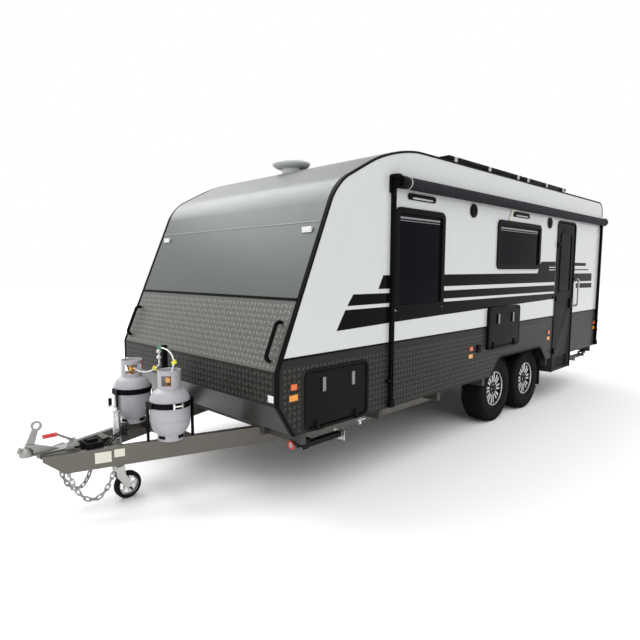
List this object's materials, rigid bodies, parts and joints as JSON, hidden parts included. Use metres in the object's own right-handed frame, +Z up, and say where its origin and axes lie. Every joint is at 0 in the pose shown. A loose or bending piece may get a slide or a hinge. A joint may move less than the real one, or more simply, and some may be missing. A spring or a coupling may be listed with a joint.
{
  "type": "travel caravan",
  "caption": "Tandem-axle travel caravan with raked front, roll-out awning, side door, gas bottles on an A-frame drawbar, ball coupling and jockey wheel.",
  "frame": {"origin": "on the ground, under the middle of the overall length, on the body's centre plane", "axes": "+X forward along the drawbar, +Y to the left, the door side, +Z up"},
  "size_m": [8.3, 2.5458, 2.98],
  "materials": {
    "pale_wall": "gloss",
    "dark_cladding": "satin",
    "gunmetal_front": "gloss",
    "floor_board": "matt",
    "grey_sheet": "satin",
    "chassis_paint": "gloss",
    "black_trim": "satin",
    "hose_white": "satin",
    "cable_black": "satin",
    "regulator_zinc": "satin",
    "tinted_pane": "gloss",
    "awning_cloth": "matt",
    "solar_glass": "gloss",
    "white_plastic": "gloss",
    "amber_lens": "gloss",
    "red_lens": "gloss",
    "mudflap_rubber": "matt",
    "tyre_rubber": "matt",
    "alloy": "gloss",
    "galvanised": "satin",
    "cast_grey": "satin",
    "bottle_grey": "satin"
  },
  "bodies": {
    "van": {"chassis_rails": "chassis_paint", "cross_members": "chassis_paint", "drawbar_rails": "chassis_paint", "floor_panel": "floor_board", "wheel_and_step_boxes": "grey_sheet", "side_wall_left": "pale_wall", "side_wall_right": "pale_wall", "side_claddings": "dark_cladding", "front_lower_panel": "dark_cladding", "front_upper_panel": "gunmetal_front", "roof_panel": "pale_wall", "rear_wall": "pale_wall", "opening_frames": "black_trim", "window_panes": "tinted_pane", "awning_roller": "awning_cloth", "awning_arms": "black_trim", "solar_panels": "solar_glass", "antenna_dome": "white_plastic", "grab_handles": "black_trim", "side_lamps_amber": "amber_lens", "front_lamps_white": "white_plastic", "tail_lamps_red": "red_lens", "annex_lights_and_speakers": "black_trim", "axles": "chassis_paint", "leaf_springs": "chassis_paint", "mudflaps": "mudflap_rubber", "steady_brackets": "galvanised", "ball_coupling": "cast_grey", "handbrake": "cast_grey", "jockey_tube": "galvanised", "gas_bottles": "bottle_grey", "bottle_straps": "black_trim", "regulator_post": "black_trim", "gas_regulator": "regulator_zinc", "safety_chains": "galvanised", "gas_hose_left": "hose_white", "gas_hose_right": "hose_white", "trailer_cable_1": "cable_black", "trailer_cable_2": "cable_black", "trailer_cable_3": "cable_black"},
    "wheel_front_left": {"tyre_front_left": "tyre_rubber", "rim_front_left": "alloy"},
    "wheel_front_right": {"tyre_front_right": "tyre_rubber", "rim_front_right": "alloy"},
    "wheel_rear_left": {"tyre_rear_left": "tyre_rubber", "rim_rear_left": "alloy"},
    "wheel_rear_right": {"tyre_rear_right": "tyre_rubber", "rim_rear_right": "alloy"},
    "entry_door": {"entry_door_leaf": "black_trim", "entry_door_glass": "tinted_pane"},
    "hatch_left": {"boot_hatch_left": "dark_cladding"},
    "hatch_right": {"boot_hatch_right": "dark_cladding"},
    "picnic_table": {"picnic_table_leaf": "black_trim"},
    "steady_leg_front_left": {"steady_front_left": "galvanised"},
    "steady_leg_front_right": {"steady_front_right": "galvanised"},
    "steady_leg_rear_left": {"steady_rear_left": "galvanised"},
    "steady_leg_rear_right": {"steady_rear_right": "galvanised"},
    "jockey_slide": {"jockey_leg": "galvanised"},
    "jockey_castor": {"jockey_fork": "galvanised"},
    "jockey_roller": {"jockey_wheel": "tyre_rubber"}
  },
  "joints": [
    {"name": "spin_front_left", "type": "hinge", "parent": "van", "child": "wheel_front_left", "pos_m": [-0.805, 0.9675, 0.4], "axis": [0, 1, 0], "continuous": true},
    {"name": "spin_front_right", "type": "hinge", "parent": "van", "child": "wheel_front_right", "pos_m": [-0.805, -0.9675, 0.4], "axis": [0, 1, 0], "continuous": true},
    {"name": "spin_rear_left", "type": "hinge", "parent": "van", "child": "wheel_rear_left", "pos_m": [-1.675, 0.9675, 0.4], "axis": [0, 1, 0], "continuous": true},
    {"name": "spin_rear_right", "type": "hinge", "parent": "van", "child": "wheel_rear_right", "pos_m": [-1.675, -0.9675, 0.4], "axis": [0, 1, 0], "continuous": true},
    {"name": "door_swing", "type": "hinge", "parent": "van", "child": "entry_door", "pos_m": [-2.236, 1.222, 1.443], "axis": [0, 0, -1], "range_deg": [0, 165]},
    {"name": "hatch_drop_left", "type": "hinge", "parent": "van", "child": "hatch_left", "pos_m": [2.155, 1.222, 0.633], "axis": [-1, 0, 0], "range_deg": [0, 90]},
    {"name": "hatch_drop_right", "type": "hinge", "parent": "van", "child": "hatch_right", "pos_m": [2.155, -1.222, 0.633], "axis": [1, 0, 0], "range_deg": [0, 90]},
    {"name": "table_drop", "type": "hinge", "parent": "van", "child": "picnic_table", "pos_m": [-0.69, 1.244, 0.953], "axis": [-1, 0, 0], "range_deg": [0, 90]},
    {"name": "steady_front_left", "type": "hinge", "parent": "van", "child": "steady_leg_front_left", "pos_m": [2.42, 1.07, 0.472], "axis": [0, -1, 0], "range_deg": [0, 85]},
    {"name": "steady_front_right", "type": "hinge", "parent": "van", "child": "steady_leg_front_right", "pos_m": [2.42, -1.07, 0.472], "axis": [0, -1, 0], "range_deg": [0, 85]},
    {"name": "steady_rear_left", "type": "hinge", "parent": "van", "child": "steady_leg_rear_left", "pos_m": [-3.83, 1.07, 0.472], "axis": [0, 1, 0], "range_deg": [0, 85]},
    {"name": "steady_rear_right", "type": "hinge", "parent": "van", "child": "steady_leg_rear_right", "pos_m": [-3.83, -1.07, 0.472], "axis": [0, 1, 0], "range_deg": [0, 85]},
    {"name": "jockey_wind", "type": "slide", "parent": "van", "child": "jockey_slide", "axis": [0, 0, -1], "range_m": [0, 0.15]},
    {"name": "jockey_swivel", "type": "hinge", "parent": "jockey_slide", "child": "jockey_castor", "pos_m": [3.43, 0, 0.285], "axis": [0, 0, 1], "continuous": true},
    {"name": "jockey_spin", "type": "hinge", "parent": "jockey_castor", "child": "jockey_roller", "pos_m": [3.36, 0, 0.11], "axis": [0, 1, 0], "continuous": true}
  ]
}
